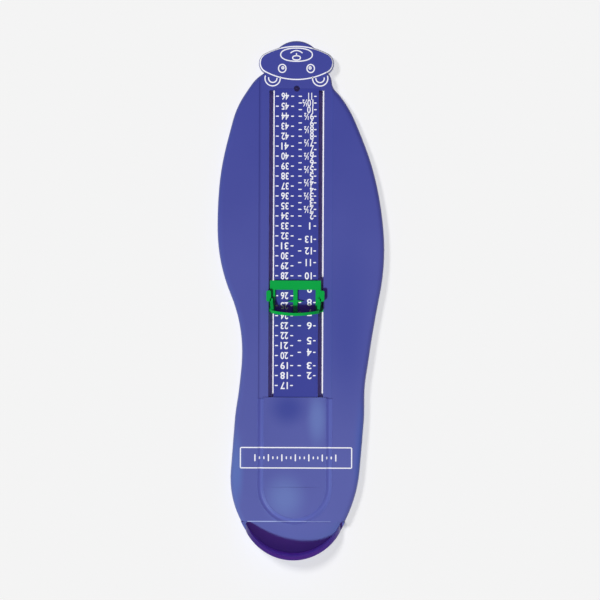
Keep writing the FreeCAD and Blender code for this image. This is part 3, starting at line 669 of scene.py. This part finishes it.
def group(name, members):
    """A collection of some objects, for a lamp to light or to be shaded by."""
    made = bpy.data.collections.new(name)
    for one in members:
        made.objects.link(one)
    return made


def level_share(way, share=1.0):
    """Strength at which a sun gives a level sheet a share of its colour: share sqrt(x^2 + y^2 + 1)."""
    return share * math.hypot(*way, 1.0)


def sun(name, way, strength, spread, lit, colour=WHITE, shaded_by=()):
    """Parallel light that travels way (x, y) for each unit down, spread over some degrees, on some
    objects, and with shadows of some or all. At strength 1 it lights a sheet that faces it to the
    sheet's colour."""
    data = bpy.data.lights.new(name, "SUN")
    data.energy = strength * math.pi
    data.color = colour
    data.angle = math.radians(spread)
    lamp = bpy.data.objects.new(name, data)
    bpy.context.scene.collection.objects.link(lamp)
    tilt = math.acos(1 / math.hypot(*way, 1.0))
    lamp.rotation_euler = (tilt, 0.0, math.atan2(way[1], way[0]) - math.pi / 2)
    lamp.light_linking.receiver_collection = group(name + "_lights", lit)
    if shaded_by:
        lamp.light_linking.blocker_collection = group(name + "_shades", shaded_by)
    return lamp


floor = flat_stage("studio_floor", -FLOOR_HALF, FLOOR_HALF, -FLOOR_HALF, FLOOR_HALF, FLOOR_LEVEL,
                   studio_paper("floor_paper"))
table = under_gauge("track_table", half_x=19, y=(103, 311.5), z=0.00005)
hole_table = under_gauge("hole_table", half_x=6, y=(306, 315), z=0.00015)
gauge = [one for one in bpy.data.objects if one.type == "MESH" and one not in (floor, table, hole_table)]
heel = [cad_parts["heel_cup"]]
rest = [one for one in gauge if one not in (*heel, rim)]
ink = [one for one in gauge if one.data.materials[0] == print_white]
bare = [one for one in gauge if one not in ink]
# Main lamps: name, the way the light travels, spread, what it lights, and colour
KEYS = (("key_body", (0.34, 0.33), 6.0, [one for one in rest if one in bare], 1 - AMBIENT - FILL),
        ("key_heel", (0.46, 0.44), 5.0, heel, 1 - AMBIENT - FILL),
        ("key_ink", (0.34, 0.33), 6.0, ink, 0.92 * WHITE),
        ("fill_ink", (0.0, 0.0), 60.0, ink, 0.05 * WHITE))
for name, way, spread, lit, colour in KEYS:
    key = sun(name, way, level_share(way), spread, lit, colour)
    key.visible_glossy = False
for side, way in enumerate(((0.6, 0.0), (-0.6, 0.0), (0.0, 0.6), (0.0, -0.6))):
    fill = sun(f"fill_{side}", way, level_share(way, 1 / 4), spread=50.0, lit=bare, colour=FILL)
    fill.visible_glossy = False
gleam = sun("groove_gleam", (0.62, 0.48), strength=0.5, spread=20.0, lit=[bed], colour=(0.8, 1.0, 0.9))
gleam.visible_diffuse = False
sun("rim_fill", (0.0, -1.6), strength=1.0, spread=60.0, lit=[rim], colour=(0.24, 0.0, 0.31))
sun("key_track", (0.44, 0.33), level_share((0.44, 0.33)), spread=5.0, lit=[table])
sun("fill_track", (0.0, 0.0), strength=0.1, spread=60.0, lit=[table, hole_table], colour=(0.5, 0.3, 1.3))
sun("floor_top", (0.0, 0.0), strength=0.49, spread=20.0, lit=[floor])
for name, way, shades in (("floor_side", (0.85, -0.55), rest), ("floor_heel", (0.28, -0.39), [*heel, rim])):
    sun(name, way, level_share(way, FLOOR_SLANT), spread=12.0, lit=[floor], shaded_by=shades)

world = bpy.data.worlds.new("studio")
bpy.context.scene.world = world
world.use_nodes = True
sky = world.node_tree
ray = node(sky, "ShaderNodeLightPath")
backdrop = node(sky, "ShaderNodeBackground", Strength=1.0,
                Color=(FLOOR_LIGHT, FLOOR_LIGHT, FLOOR_LIGHT, 1.0))
all_around = sky.nodes["Background"]
all_around.inputs["Color"].default_value = (1.0, 1.0, 1.0, 1.0)
all_around.inputs["Strength"].default_value = AMBIENT
blend = node(sky, "ShaderNodeMixShader", i0=ray.outputs["Is Camera Ray"], i1=all_around.outputs[0],
             i2=backdrop.outputs[0])
sky.links.new(blend.outputs[0], sky.nodes["World Output"].inputs["Surface"])

VIEW_HEIGHT = 1.3                         # metres above the strip
VIEW_WIDTH = 0.40104                      # metres that the view takes in at the strip's height
VIEW_MIDDLE = (2.69, 169.45)              # gauge place under the camera
VIEW_TURN = 0.00407                       # radians
camera_data = bpy.data.cameras.new("camera")
camera = bpy.data.objects.new("camera", camera_data)
bpy.context.scene.collection.objects.link(camera)
camera.location = on_gauge(*VIEW_MIDDLE, STRIP_TOP + VIEW_HEIGHT)
camera.rotation_euler = (0.0, 0.0, VIEW_TURN)
camera_data.sensor_width = 36.0
camera_data.lens = camera_data.sensor_width * VIEW_HEIGHT / VIEW_WIDTH
bpy.context.scene.camera = camera
bpy.context.scene.view_settings.view_transform = "Standard"
